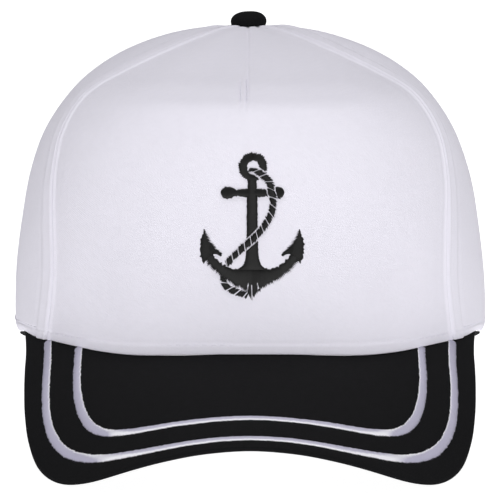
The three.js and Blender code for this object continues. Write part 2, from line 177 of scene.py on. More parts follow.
def half_at(climb):
    return np.interp(climb, CLIMBS, HALVES)


def rim_wave(bearing):
    return RIM_LIFT * spline(RIM_WAVES, np.abs(bearing) / WAVE_END)[..., 0]


def crown_face(bearing, climb):
    bearing, climb = np.broadcast_arrays(np.asarray(bearing, float), np.asarray(climb, float))
    rise, half, fore, aft, middle, square, _, _ = np.moveaxis(spline(SECTIONS, climb), -1, 0)
    angle = np.radians(bearing)
    across, ahead = np.sin(angle), np.cos(angle)
    front = ahead > 0
    reach = np.maximum(np.where(front, fore * CROWN_FORE, aft * CROWN_AFT), 1e-6)
    power = np.where(front, square, 2.0)
    wide = np.maximum(half * CROWN_HALF, 1e-6)
    radius = ((np.abs(across) / wide) ** power + (np.abs(ahead) / reach) ** power) ** (-1 / power)
    rise = rise * CROWN_HEIGHT
    fade = np.maximum(0, 1 - rise / RIM_FADE) ** 2
    return np.stack([
        radius * across, middle * CROWN_FORE - radius * ahead, rise + rim_wave(bearing) * fade,
    ], -1)


def crown_normal(bearing, climb):
    bearing, climb = np.broadcast_arrays(np.asarray(bearing, float), np.asarray(climb, float))
    low = np.minimum(climb, 0.998)
    turn = crown_face(bearing + 0.5, low) - crown_face(bearing - 0.5, low)
    up = crown_face(bearing, low + 1e-3) - crown_face(bearing, np.maximum(low - 1e-3, 0))
    normal = np.cross(turn, up)
    return normal / np.linalg.norm(normal, axis=-1, keepdims=True)


def crown_point(bearing, climb, out):
    """A point of the crown, moved out along its normal."""
    return crown_face(bearing, climb) + crown_normal(bearing, climb) * np.asarray(out)[..., None]


def front_seam(climb):
    return spline(SECTIONS, climb)[..., FRONT_SEAM]


def back_seam(climb):
    return spline(SECTIONS, climb)[..., BACK_SEAM]


def rear_seam(climb):
    return np.full(np.shape(climb), 180.0)


# The peak's surface

ROOT = crown_face(PEAK_ROOT_BEARING, 0.0)
TIP_AHEAD = RIM_FORE + PEAK_REACH


def peak_plan(table):
    side, ahead = table[..., 0], table[..., 1]
    return np.stack([side * ROOT[0], ROOT[1] + (-TIP_AHEAD - ROOT[1]) * ahead], -1)


def peak_face(x, y):
    """Height of the peak's upper face."""
    inside = np.maximum(0, 1 - (np.abs(x) / RIM_HALF) ** RIM_SQUARE)
    root_y = -RIM_FORE * inside ** (1 / RIM_SQUARE)
    ahead = np.maximum(0, root_y - y)
    side = np.abs(x / ROOT[0])
    slope = (PEAK_FALL["middle"] + PEAK_FALL["arch"] * side**2 + PEAK_FALL["shoulder"] * side**4
             + PEAK_FALL["side"] * side**6 + PEAK_FALL["curl"] * side**2 * (ahead / PEAK_REACH))
    bearing = np.degrees(np.arctan2(np.abs(x), -y))
    return rim_wave(bearing) * np.exp(-(ahead / RIM_FADE) ** 2) - SEAT - slope * ahead


def peak_point(x, y, depth):
    """A point under the peak's upper face, at a depth measured square to it."""
    across = (peak_face(x + 1, y) - peak_face(x - 1, y)) / 2
    ahead = (peak_face(x, y + 1) - peak_face(x, y - 1)) / 2
    steepness = np.minimum(np.sqrt(1 + across**2 + ahead**2), 1.5)
    return np.stack([x, y, peak_face(x, y) - depth * steepness], -1)


# Meshes


def to_part(points):
    """Cap frame in millimetres to the part's frame in metres, pressed up to the floor.

    Only the back is pressed: the peak's corners keep their round edge.
    """
    cos, sin = math.cos(REST_TILT), math.sin(REST_TILT)
    x, y, z = np.moveaxis(points, -1, 0)
    turned = np.stack([x, y * cos + z * sin, z * cos - y * sin], -1) + REST_SHIFT
    behind = turned[..., 1] > 0
    turned[..., 2] = np.where(behind, np.maximum(turned[..., 2], 0), turned[..., 2])
    return turned / 1000


def make_object(name, points, faces, material, uv):
    """A piece from its points, its faces as lists of point numbers, and its cloth places."""
    mesh = bpy.data.meshes.new(name)
    mesh.from_pydata(to_part(points).reshape(-1, 3).tolist(), [], faces)
    layer = mesh.uv_layers.new(name="cloth")
    loops = np.empty(len(mesh.loops), int)
    mesh.loops.foreach_get("vertex_index", loops)
    layer.data.foreach_set("uv", uv.reshape(-1, 2)[loops].ravel())
    mesh.polygons.foreach_set("use_smooth", np.ones(len(mesh.polygons), bool))
    mesh.materials.append(material)
    mesh.update()
    obj = bpy.data.objects.new(name, mesh)
    bpy.context.scene.collection.objects.link(obj)
    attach(obj, "root")
    # A number follows the name where the part has a material of that name
    return obj


def point_numbers(rows, columns):
    return np.arange(rows * columns).reshape(rows, columns)


def quads(numbers):
    """The faces of a grid of point numbers."""
    corners = [numbers[:-1, :-1], numbers[:-1, 1:], numbers[1:, 1:], numbers[1:, :-1]]
    return np.stack(corners, -1).reshape(-1, 4)


def tube_quads(rows, columns):
    """The faces of a tube, whose rows are rings."""
    numbers = point_numbers(rows, columns)
    return quads(np.concatenate([numbers, numbers[:, :1]], axis=1))


def solid_faces(rows, columns):
    """Faces of a closed solid between two grids, the outer one first."""
    count = rows * columns
    numbers = point_numbers(rows, columns)
    faces = [quads(numbers), quads(numbers + count)[:, ::-1]]
    for edge in (numbers[0, ::-1], numbers[-1], numbers[:, 0], numbers[::-1, -1]):
        faces.append(np.stack([edge[:-1], edge[1:], edge[1:] + count, edge[:-1] + count], -1))
    return np.concatenate(faces)


def make_solid(name, outer, inner, material, uv):
    """A closed solid between two grids of points."""
    rows, columns = outer.shape[:2]
    points = np.concatenate([outer.reshape(-1, 3), inner.reshape(-1, 3)])
    faces = solid_faces(rows, columns)
    a, b, c = (points[faces[:, k]] for k in range(3))
    volume = np.einsum("ij,ij->i", a, np.cross(b, c)).sum()
    if volume < 0:
        faces = faces[:, ::-1]
    double_uv = np.concatenate([uv.reshape(-1, 2)] * 2)
    return make_object(name, points, faces.tolist(), material, double_uv)


# Materials

# The colour sockets of a mix node
MIX_FACTOR = 0
MIX_A = 6
MIX_B = 7
MIX_RESULT = 2

# Twill: slanted ribs crossed by finer threads; the bumps' heights are in metres
RIB_ANGLE = 62
RIB_PITCH = 0.55
CROSS_ANGLE = -20
CROSS_PITCH = 0.62
CROSS_HEIGHT = 0.45
NAP_HEIGHT = 0.00025
CLOTH_ROUGHNESS = 0.9

# Fibres of the stitching thread
FIBRE_ANGLE = 12
FIBRE_PITCH = 0.16
FIBRE_HEIGHT = 0.00004

# The stripes' thread colour has a painted highlight along one edge, and painted lavender shade
# from a distance to it on
STRIPE_PLAIN = (0.8, 0.8, 0.85)
STRIPE_PAINTED_HIGHLIGHT = (0.93, 0.92, 0.97)
STRIPE_PAINTED_SHADE = (0.50, 0.48, 0.61)
PAINTED_HIGHLIGHT_END = 0.15
PAINTED_SHADE_START = 0.55


def node_material(name, color, roughness, sheen=0.0, specular=0.3):
    material = bpy.data.materials.new(name)
    material.use_nodes = True
    shader = material.node_tree.nodes["Principled BSDF"]
    shader.inputs["Base Color"].default_value = (*color, 1)
    shader.inputs["Roughness"].default_value = roughness
    shader.inputs["Sheen Weight"].default_value = sheen
    shader.inputs["Sheen Roughness"].default_value = 0.5
    shader.inputs["Specular IOR Level"].default_value = specular
    return material, shader


def add_node(material, kind, **values):
    node = material.node_tree.nodes.new(kind)
    for key, value in values.items():
        if key in node.inputs:
            node.inputs[key].default_value = value
        else:
            setattr(node, key, value)
    return node


def link(material, source, target):
    material.node_tree.links.new(source, target)


def blend_colors(material, shader, factor, low, high):
    """A base colour between two colours."""
    mix = add_node(material, "ShaderNodeMix", data_type="RGBA")
    mix.inputs[MIX_A].default_value = (*low, 1)
    mix.inputs[MIX_B].default_value = (*high, 1)
    link(material, factor, mix.inputs[MIX_FACTOR])
    link(material, mix.outputs[MIX_RESULT], shader.inputs["Base Color"])


def color_variation(material, shader, color, coordinates, scale, amount):
    """Slightly uneven cloth colour."""
    noise = add_node(material, "ShaderNodeTexNoise", Scale=scale, Detail=3.0)
    link(material, coordinates, noise.inputs["Vector"])
    low = [c * (1 - amount) for c in color]
    high = [min(1, c * (1 + amount)) for c in color]
    blend_colors(material, shader, noise.outputs["Fac"], low, high)


def bump(material, height, distance, strength, previous=None):
    node = add_node(material, "ShaderNodeBump", Distance=distance, Strength=strength)
    link(material, height, node.inputs["Height"])
    if previous is not None:
        link(material, previous, node.inputs["Normal"])
    return node.outputs["Normal"]


def cloth_coordinates(material):
    return add_node(material, "ShaderNodeUVMap", uv_map="cloth").outputs["UV"]


def wave(material, coordinates, angle, pitch, distortion):
    """Parallel ribs at an angle, a pitch apart."""
    mapping = add_node(material, "ShaderNodeMapping", Rotation=(0, 0, math.radians(angle)))
    link(material, coordinates, mapping.inputs["Vector"])
    node = add_node(material, "ShaderNodeTexWave", Scale=math.pi / 10 / pitch,
                    Distortion=distortion, Detail=1.0)
    link(material, mapping.outputs["Vector"], node.inputs["Vector"])
    return node.outputs["Fac"]


def twill(name, color, sheen, specular, pitch=RIB_PITCH, depth=0.00005, variation=0.02):
    """Twill cloth: slanted ribs crossed by finer threads, with a soft nap."""
    material, shader = node_material(name, color, CLOTH_ROUGHNESS, sheen, specular)
    coordinates = cloth_coordinates(material)
    ribs = wave(material, coordinates, RIB_ANGLE, pitch, 0.6)
    threads = wave(material, coordinates, CROSS_ANGLE, pitch * CROSS_PITCH, 0.8)
    weave = add_node(material, "ShaderNodeMath", operation="MULTIPLY_ADD")
    weave.inputs[1].default_value = CROSS_HEIGHT
    link(material, threads, weave.inputs[0])
    link(material, ribs, weave.inputs[2])
    nap = add_node(material, "ShaderNodeTexNoise", Scale=0.9, Detail=5.0, Roughness=0.65)
    link(material, coordinates, nap.inputs["Vector"])
    normal = bump(material, nap.outputs["Fac"], NAP_HEIGHT, 0.5)
    normal = bump(material, weave.outputs["Value"], depth, 0.8, normal)
    link(material, normal, shader.inputs["Normal"])
    color_variation(material, shader, color, coordinates, 0.35, variation)
    return material


def add_fibres(material, shader, coordinates):
    fibres = wave(material, coordinates, FIBRE_ANGLE, FIBRE_PITCH, 1.5)
    link(material, bump(material, fibres, FIBRE_HEIGHT, 0.5), shader.inputs["Normal"])


def thread(name, color, roughness, sheen, specular):
    """Shiny stitching thread with fine fibres."""
    material, shader = node_material(name, color, roughness, sheen, specular)
    coordinates = cloth_coordinates(material)
    add_fibres(material, shader, coordinates)
    color_variation(material, shader, color, coordinates, 1.4, 0.06)
    return material


def stripe_thread_painted_light():
    """White satin thread with a painted highlight along one edge and painted lavender shade away
    from it.
    """
    material, shader = node_material("stripe_thread_painted_light", STRIPE_PLAIN, 0.4, 0.05, 0.9)
    coordinates = cloth_coordinates(material)
    across = add_node(material, "ShaderNodeSeparateXYZ")
    link(material, coordinates, across.inputs["Vector"])
    share = add_node(material, "ShaderNodeMapRange",
                     **{"From Min": PAINTED_HIGHLIGHT_END, "From Max": PAINTED_SHADE_START})
    link(material, across.outputs["Y"], share.inputs["Value"])
    # Painted highlight colour near the edge, fading to painted shade across the stripe
    blend_colors(material, shader, share.outputs["Result"], STRIPE_PAINTED_HIGHLIGHT, STRIPE_PAINTED_SHADE)
    add_fibres(material, shader, coordinates)
    return material


white_cloth = twill("white_cloth", (0.80, 0.78, 0.86), sheen=0.05, specular=0.2)
band_cloth = twill("band_cloth", (0.78, 0.77, 0.81), sheen=0.05, specular=0.2, pitch=0.8)
black_cloth = twill("black_cloth", (0.0055, 0.0055, 0.0062), sheen=0.0, specular=0.10,
                    depth=0.00004, variation=0.10)
white_thread = thread("white_thread", (0.77, 0.75, 0.84), roughness=0.45, sheen=0.05, specular=0.4)
black_thread = thread("black_thread", (0.0045, 0.0045, 0.0045), roughness=0.5, sheen=0.0,
                      specular=0.26)
satin_thread_painted_light = stripe_thread_painted_light()


# Relief of the crown's cloth

# Ridges and grooves beside a seam: height, distance from the seam, spread
FRONT_EDGE = [(0.50, 1.05, 0.55), (-0.85, 0, 0.45), (-0.14, 2.9, 0.6), (-0.10, 5.5, 2.0)]
ALLOWANCE = [(-0.85, 0, 0.5), (0.18, 6.4, 1.3), (-0.12, 2.9, 0.6), (-0.32, 9.3, 0.7)]
ALLOWANCE_BAND = {"height": 0.42, "start": (0.9, 1.9), "end": (7.6, 9.0)}
PLAIN_SEAM = [(0.16, 1.0, 0.6), (-0.8, 0, 0.5), (-0.10, 3.0, 0.6)]

# The turned rim and the binding of the opening behind
RIM_BAND = {"height": 0.28, "end": (3.0, 4.0), "groove": (-0.14, 3.9, 0.5)}
BINDING = {"height": 0.34, "end": (7.4, 8.4), "fade": (7.4, 9.0)}
CLOTH_ROLL = 0.9
STRAP_ROLL = 0.8

# The dart under the button: its fold by the side, and the two rows that end it
DART_FOLD = [(-0.25, -0.7, 0.5), (-0.12, -0.9, 2.6)]
DART_START = (84, 93)
DART_SIDES = [-3.4, -1.2]
DART_ROWS = [(-0.3, side, 0.5) for side in DART_SIDES]
DART_ROWS_START = (83, 85)
DART_ROWS_END = (94, 97)

# The crease where the front's stiffening ends, by the rise
CREASE = [(-0.45, 89.5, 2.4), (0.30, 84.5, 3.0)]
CREASE_END = (30, 48)

# Soft dents above the rim's corners: height, side, spread, rise, spread
DENTS = [(-0.9, 52, 9, 24, 14), (0.5, 38, 8, 12, 12)]


def bell(distance, at, spread):
    return np.exp(-((distance - at) / spread) ** 2)


def step(distance, start, end):
    t = np.clip((distance - start) / (end - start), 0, 1)
    return t * t * (3 - 2 * t)


def ridges(distance, rows):
    return sum(height * bell(distance, at, spread) for height, at, spread in rows)


def rolled_edge(distance, radius):
    """How far a rolled edge falls away, by its distance from the edge."""
    inside = np.clip(radius - distance, 0, radius)
    return radius - np.sqrt(np.maximum(radius**2 - inside**2, 0))


def allowance_relief(edge):
    """The side panel beside the front seam: the folded allowance shows as a band."""
    band = step(edge, *ALLOWANCE_BAND["start"]) * (1 - step(edge, *ALLOWANCE_BAND["end"]))
    return ALLOWANCE_BAND["height"] * band + ridges(edge, ALLOWANCE)


def rim_relief(rise):
    band = RIM_BAND["height"] * (1 - step(rise, *RIM_BAND["end"]))
    return band + ridges(rise, [RIM_BAND["groove"]]) - rolled_edge(rise, CLOTH_ROLL)


def soft_waves(bearing, rise, strength):
    """Low unevenness of stiffened cloth."""
    turn = np.radians(bearing)
    return strength * (np.sin(turn * 5.3 + rise * 0.045) * np.sin(rise * 0.09 + turn * 2.1)
                       + 0.6 * np.sin(turn * 11.7 - rise * 0.07 + 1.3))


# Crown panels

# Distances of a panel's columns from its seam, and of more columns round the dart
SEAM_STEPS = np.array([0, 0.25, 0.5, 0.75, 1.0, 1.3, 1.6, 2.0, 2.5, 3.0, 3.6, 4.4, 5.4, 6.4, 7.4,
                       8.2, 8.8, 9.4, 10.0, 11.0, 12.5])
PLAIN_STEP = 2.6
DART_STEPS = np.array([-4.5, -4, -3.7, -3.4, -3.1, -2.7, -2.2, -1.8, -1.5, -1.2, -0.9, -0.6, -0.3,
                       0, 0.35, 0.7, 1.1, 1.6, 2.2, 3, 4])

# Columns beside the opening's foot and beside the rear seam
ARCH_STEPS = np.array([0, 0.3, 0.7, 1.2, 1.9, 2.8, 3.8, 5, 6.2, 7.2, 8, 9, 10.5])
REAR_STEPS = np.array([3, 2, 1.4, 1.0, 0.7, 0.4, 0.2])
ARCH_SIDE = 13


def seam_columns(width, both=True):
    """Shares of a panel's width, close together beside its seams."""
    inner = np.arange(15, width - 14 if both else width, PLAIN_STEP)
    end = (width - SEAM_STEPS)[::-1] if both else [width]
    return np.concatenate([SEAM_STEPS, inner, end]) / width


def panel_rows():
    """Climbs of a panel's rows: close together at the rim, then 2 mm apart, then even."""
    rises = np.concatenate([np.arange(0, 1.2, 0.2), np.arange(1.2, 5.4, 0.45),
                            np.arange(5.5, 84, 2.0)])
    low = climb_at(rises)
    high = np.linspace(low[-1], TOP_CLIMB, 44)[1:]
    return np.concatenate([low, high])


def near_rim(count, near):
    """Shares from 0 to 1, closer together near 0: steps of near at the start."""
    steps = np.linspace(0, 1, count)
    return near * count * steps + (1 - near * count) * steps**2.2


def arc_lengths(bearings, climbs):
    """Distance along each row of a panel from its first column."""
    points = crown_face(bearings, climbs)
    steps = np.linalg.norm(np.diff(points, axis=1), axis=-1)
    return np.concatenate([np.zeros((len(points), 1)), np.cumsum(steps, axis=1)], axis=1)


def cloth_places(bearings, climbs):
    """Places in the cloth: along each row and up each column, in millimetres."""
    points = crown_face(bearings, climbs)
    steps = np.linalg.norm(np.diff(points, axis=0), axis=-1)
    up = np.concatenate([np.zeros((1, points.shape[1])), np.cumsum(steps, axis=0)], axis=0)
    return np.stack([arc_lengths(bearings, climbs), up], -1)


def make_panel(name, bearings, climbs, relief):
    relief = relief - TIP_DIP * (1 - step(half_at(climbs), *TIP_DIP_FADE))
    outer = crown_point(bearings, climbs, relief)
    inner = crown_point(bearings, climbs, -CLOTH_WALL)
    # The rim comes down to the peak that is sewn under it
    drop = SEAT * (1 - step(rise_at(climbs), 0, CLOTH_ROLL))
    outer[..., 2] -= drop
    inner[..., 2] -= drop
    obj = make_solid(name + "_cloth", outer, inner, white_cloth, cloth_places(bearings, climbs))
    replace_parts(obj, name)


def front_panel():
    columns = np.concatenate([seam_columns(FRONT_WIDTH), 0.5 + DART_STEPS / FRONT_WIDTH])
    shares = np.unique(np.round(columns, 5))
    climbs = panel_rows()[:, None] + 0 * shares
    bearings = front_seam(climbs) * (2 * shares - 1)
    along = arc_lengths(bearings, climbs)
    edge = np.minimum(along, along[:, -1:] - along)
    x = crown_face(bearings, climbs)[..., 0]
    side = np.abs(x)
    rise = rise_at(climbs)
    relief = ridges(edge, FRONT_EDGE) + rim_relief(rise) + soft_waves(bearings, rise, 0.22)
    relief += ridges(x, DART_FOLD) * step(rise, *DART_START)
    relief += (ridges(x, DART_ROWS) * step(rise, *DART_ROWS_START)
               * (1 - step(rise, *DART_ROWS_END)))
    relief += ridges(rise, CREASE) * (1 - step(side, *CREASE_END))
    for height, at, spread, up, up_spread in DENTS:
        relief += height * bell(side, at, spread) * bell(rise, up, up_spread)
    make_panel("front_panel", bearings, climbs, relief)


def side_panel(side):
    shares = seam_columns(SIDE_WIDTH)
    climbs = panel_rows()[:, None] + 0 * shares
    bearings = front_seam(climbs) * (1 - shares) + back_seam(climbs) * shares
    along = arc_lengths(bearings, climbs)
    rise = rise_at(climbs)
    relief = (allowance_relief(along) + ridges(along[:, -1:] - along, PLAIN_SEAM)
              + rim_relief(rise) + soft_waves(bearings + 30 * side, rise, 0.18))
    name = "side_panel_right" if side > 0 else "side_panel_left"
    make_panel(name, bearings * side, climbs, relief)


def rear_bearing(side):
    return 180 - np.degrees(np.arcsin(np.minimum(1, side / RIM_AFT)))


def arch_rise(bearing):
    side = np.abs(crown_face(bearing, 0.0)[..., 0]) / ARCH_HALF
    return np.where(side < 1, ARCH_HEIGHT * np.sqrt(np.maximum(1 - side**2, 0)), 0)


def arch_distance(points):
    """Distance from the opening's edge, measured in the cloth."""
    x, _, z = np.moveaxis(points, -1, 0)
    level = np.sqrt((x / ARCH_HALF) ** 2 + (z / ARCH_HEIGHT) ** 2)
    slope = np.sqrt((x / ARCH_HALF**2) ** 2 + (z / ARCH_HEIGHT**2) ** 2) / level
    return np.maximum((level - 1) / slope, 0)


def back_panel(side):
    seam = float(back_seam(0.0))
    width = math.radians(180 - seam) * REAR_RADIUS
    foot = (rear_bearing(ARCH_HALF) - seam) / (180 - seam)
    beside = seam_columns(foot * width - ARCH_SIDE, both=False) * (foot - ARCH_SIDE / width)
    over = foot + (1 - foot) * (1 - np.cos(np.linspace(0, np.pi / 2, 26)[1:]))
    columns = [beside, foot - ARCH_STEPS[::-1] / width, over, 1 - REAR_STEPS / width]
    shares = np.unique(np.round(np.concatenate(columns), 5))
    bottom = climb_at(arch_rise(seam + (180 - seam) * shares))
    climbs = bottom + (TOP_CLIMB - bottom) * near_rim(86, 0.0035)[:, None]
    bearings = back_seam(climbs) * (1 - shares) + 180 * shares
    along = arc_lengths(bearings, climbs)
    rise = rise_at(climbs)
    opening = arch_distance(crown_face(bearings, climbs))
    binding = (BINDING["height"] * (1 - step(opening, *BINDING["end"]))
               - rolled_edge(opening, CLOTH_ROLL))
    away = step(opening, *BINDING["fade"])
    over_arch = step(rise, ARCH_HEIGHT - 1, ARCH_HEIGHT + 1)
    relief = (ridges(along, PLAIN_SEAM) + ridges(along[:, -1:] - along, PLAIN_SEAM) * over_arch
              + np.minimum(rim_relief(rise), binding) * (1 - away) + rim_relief(rise) * away
              + soft_waves(bearings + 60 * side, rise, 0.2))
    name = "back_panel_right" if side > 0 else "back_panel_left"
    make_panel(name, bearings * side, climbs, relief)


# Bands

def crown_band(name, bearings, rises, outer, inner, material):
    """A band of cloth that follows the crown, by how far its two faces stand out."""
    climbs = climb_at(rises)[:, None] + 0 * bearings
    turns = bearings + 0 * climbs
    obj = make_solid(name + "_cloth", crown_point(turns, climbs, outer),
                     crown_point(turns, climbs, inner), material, cloth_places(turns, climbs))
    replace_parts(obj, name)


def sweatband():
    end = float(rear_bearing(ARCH_HALF)) - 2
    bearings = np.linspace(-end, end, 220)
    rises = SEAT + (BAND_WIDTH - SEAT) * np.linspace(0, 1, 30)
    height = rises[:, None] + 0 * bearings
    puckers = 0.12 * np.sin(np.radians(bearings) * 43) * step(height, 8, 26)
    inward = 0.25 * bell(height, 3.5, 0.8) + puckers
    outer = -CLOTH_WALL - BAND_EASE
    crown_band("sweatband", bearings, rises, outer, outer - BAND_WALL - inward, band_cloth)


def back_strap():
    end = float(rear_bearing(ARCH_HALF + STRAP_LAP))
    bearings = end + (360 - 2 * end) * np.linspace(0, 1, 130)
    rises = STRAP_WIDTH * np.concatenate([
        np.linspace(0, 0.08, 7), np.linspace(0.12, 0.88, 18), np.linspace(0.92, 1, 7)])
    height = rises[:, None] + 0 * bearings
    length = np.radians(np.minimum(bearings - end, 360 - end - bearings)) * REAR_RADIUS
    edge = np.minimum(np.minimum(height, STRAP_WIDTH - height), length)
    relief = (0.10 * np.sin(np.radians(bearings) * 23) - rolled_edge(edge, STRAP_ROLL)
              - 0.16 * bell(edge, 2.2, 0.5))
    crown_band("back_strap", bearings, rises, BAND_EASE + STRAP_WALL + relief, BAND_EASE,
               white_cloth)


# Button

BUTTON_SWING = 0.66  # from its top to its turned-in edge, as a share of half a turn
BUTTON_WIDEST = 0.30  # the height at which it is widest, as a share of its own
BUTTON_UNDER = 2.7  # how much deeper the underside is than that height
BUTTON_SLIM = 0.97


def button():
    """A dome of pleated cloth that sits a little askew, with its edge turned in."""
    turn = np.linspace(0, 2 * np.pi, 97)[None, :-1]
    rings = np.linspace(0.02, 1, 40)[:, None]
    swing = rings * np.pi * BUTTON_SWING
    pleats = 0.12 * np.sin(turn * 9 + 1.2 * np.sin(turn * 2)) * step(rings, 0.45, 0.95)
    radius = BUTTON_RADIUS * BUTTON_SLIM * np.sin(swing) ** 0.8 + pleats
    low = BUTTON_HEIGHT * BUTTON_WIDEST
    height = np.where(swing < np.pi / 2, low + (BUTTON_HEIGHT - low) * np.cos(swing),
                      low + low * BUTTON_UNDER * np.cos(swing))
    apex = crown_face(0.0, 1.0)
    tip = BUTTON_TIP * radius * np.sin(turn) / BUTTON_RADIUS
    points = np.stack([radius * np.sin(turn) + BUTTON_SHIFT, apex[1] - radius * np.cos(turn),
                       CROWN_HEIGHT + SEAT - BUTTON_SINK + height + tip], -1)
    rows, columns = points.shape[:2]
    numbers = point_numbers(rows, columns)
    sides = tube_quads(rows, columns)[:, [0, 3, 2, 1]].tolist()
    caps = [numbers[0].tolist(), numbers[-1][::-1].tolist()]
    obj = make_object("button_cloth", points, sides + caps, black_cloth, points[..., :2])
    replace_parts(obj, "button")


# Peak

PEAK_COLUMNS = 221
PEAK_ROWS = 45
BEVEL_STEPS = np.array([1, 0.75, 0.5, 0.3])
LIP_ARC = np.radians(np.array([90, 70, 50, 35, 20, 8, 0]))


def peak():
    """The peak from its tucked root to its edge, a half round that the lower face meets."""
    even = np.linspace(-1, 1, PEAK_COLUMNS)
    along = 0.35 * np.sin(even / 2 * np.pi) + 0.65 * even
    tucked = crown_point(along * PEAK_ROOT_BEARING, 0.0, -CLOTH_WALL)[:, :2]
    edge = peak_plan(spline(PEAK_OUTLINE, np.abs(along)))
    edge[:, 0] *= np.sign(along)
    length = np.linalg.norm(edge - tucked, axis=1)[:, None]
    edge = edge + (edge - tucked) / length * PEAK_HEM
    length = length + PEAK_HEM
    half = np.minimum(PEAK_LIP / 2, length * 0.2)
    inset = np.hstack([PEAK_BEVEL * BEVEL_STEPS + 0 * length, half * (1 - np.cos(LIP_ARC))])
    inset = np.minimum(inset, length * 0.4)
    flat = np.linspace(0, 1, PEAK_ROWS + 1)[:-1]
    shares = np.hstack([flat * (1 - inset[:, :1] / length), 1 - inset / length])
    wall = np.minimum(PEAK_WALL, 2 * half + length * 0.12)
    above = np.zeros(shares.shape)
    above[:, -len(LIP_ARC):] = half * (1 - np.sin(LIP_ARC))
    taper = np.clip(inset[:, :len(BEVEL_STEPS)] / PEAK_BEVEL, 0, 1) ** 0.8
    below = np.hstack([wall + 0 * flat, 2 * half + (wall - 2 * half) * taper,
                       half * (1 + np.sin(LIP_ARC))])
    plan = tucked[:, None] + (edge - tucked)[:, None] * shares[..., None]
    x, y = plan[..., 0], plan[..., 1]
    sway = 0.10 * np.sin(x * 0.11 + 1.0) * np.sin(y * 0.09) * step(shares, 1.0, 0.8)
    obj = make_solid("peak_cloth", peak_point(x, y, above + sway), peak_point(x, y, below),
                     black_cloth, plan)
    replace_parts(obj, "peak")


# Stitching

STITCH_ROOT = -0.8  # the stitching goes this far into the cloth
STITCH_HIDDEN = -0.6  # its face lies this deep where something passes over it
LOW_THREAD = 0.80  # height between two threads, beside the threads' own
BARE_TURN = (0.46, 0.28)  # the bare line between a rope's turns fades over these


def satin(name, borders_a, borders_b, surface, material, pitch=0.4, height=0.8, bow=None,
          keep_clear=None, columns=9, slant=0.0, twist=None, teeth=(0.0, 0.0), ragged=0.055,
          roundness=3.2, painted_highlight_edge=None):
    """Satin stitch: parallel threads from one border to the other.

    Borders are arrays of surface places with the same length; surface(places, out) gives
    points. keep_clear(places) is 0 where the stitching makes way for something over it.
    Between two threads the borders go in by the teeth's depth, and the threads' lengths
    differ by the ragged amount. A twist is the length of a rope's turn.
    """
    middle = (borders_a + borders_b) / 2
    steps = np.linalg.norm(np.diff(middle, axis=0), axis=1)
    travel = np.concatenate([[0], np.cumsum(steps)])
    count = max(4, int(round(travel[-1] / pitch)))
    rows = 2 * count + 1
    place = np.linspace(0, travel[-1], rows)

    def along(values, shift):
        at = np.clip(place + shift, 0, travel[-1])
        return np.stack([np.interp(at, travel, column) for column in values.T], -1)

    a = along(borders_a, slant)
    b = along(borders_b, -slant)
    crest = (np.arange(rows) % 2 == 1).astype(float)
    jitter = np.clip(random.normal(0, ragged, (count + 1, 2)), -2 * ragged, 2 * ragged)
    jitter = np.repeat(jitter, 2, axis=0)[:rows] + (crest[:, None] - 0.5) * np.array(teeth)
    across = b - a
    width = np.linalg.norm(across, axis=1, keepdims=True)
    reach = across / np.maximum(width, 1e-6)
    jitter = np.clip(jitter, -0.35 * width, 0.35 * width)
    a = a - reach * jitter[:, :1]
    b = b + reach * jitter[:, 1:]
    t = 0.5 - 0.5 * np.cos(np.linspace(0, np.pi, columns))
    places = a[:, None] + (b - a)[:, None] * t[:, None]
    if bow is not None:
        lift = np.interp(place, travel, bow)
        places = places + np.array([0, 1.0]) * (lift[:, None] * (1 - (2 * t - 1) ** 2))[..., None]
    swell = (1 - np.abs(2 * t - 1) ** roundness) ** 0.5
    level = height * (LOW_THREAD + (1 - LOW_THREAD) * crest[:, None]) * swell
    level = level + np.repeat(random.normal(0, 0.02, count + 1), 2)[:rows, None] * swell
    level = level * np.minimum(1, width / 1.2)
    shown = np.ones(level.shape)
    if twist is not None:
        # A rope's turns: full in the middle, with a bare line between one and the next
        turn = np.abs((place / twist) % 1 - 0.5) * 2
        level = level * (0.6 + 0.4 * np.sqrt(1 - turn[:, None] ** 2))
        bare = step(turn, 1 - BARE_TURN[0] / twist, 1 - BARE_TURN[1] / twist)
        shown = shown * (1 - bare)[:, None]
    if keep_clear is not None:
        shown = shown * keep_clear(places)
    level = level * shown + STITCH_HIDDEN * (1 - shown)
    across = width * t
    if painted_highlight_edge is not None:
        # The painted highlight's edge moves from the first border to the second as this share
        # rises, and between the two the whole width has the painted highlight
        turned = np.interp(place, travel, painted_highlight_edge)[:, None]
        across = width * ((1 - turned) * t + turned * (1 - t)) - 4 * turned * (1 - turned)
    uv = np.stack([place[:, None] + 0 * t, across], -1)
    outer = surface(places, level)
    inner = surface(places, np.full(level.shape, STITCH_ROOT))
    return make_solid(name, outer, inner, material, uv)


def sideways_of(line):
    """The unit direction across a line at each of its points, and that along it."""
    way = np.gradient(line, axis=0)
    way /= np.linalg.norm(way, axis=1, keepdims=True)
    return np.stack([-way[:, 1], way[:, 0]], -1), way


def on_peak(places, out):
    return peak_point(places[..., 0], places[..., 1], -out)


def stripe(name, table):
    half = peak_plan(table)
    other = half[1:][::-1] * [-1, 1]
    line = spline(np.concatenate([other, half]), np.linspace(0, 1, 700))
    sideways, way = sideways_of(line)
    border = sideways * (STRIPE_WIDTH / 2 - STRIPE_INSET)
    # The stripes' colour is painted light: a painted highlight on the flank where the light falls,
    # on one border along the front run and on the other along the side runs, and painted shade
    # over the rest
    obj = satin(name + "_satin", line - border, line + border, on_peak, satin_thread_painted_light,
                pitch=0.6, height=0.5, slant=0.25, teeth=(0.5, 0.15), ragged=0.09, roundness=2.0,
                painted_highlight_edge=step(np.abs(way[:, 1]), 0.25, 0.95))
    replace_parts(obj, name)


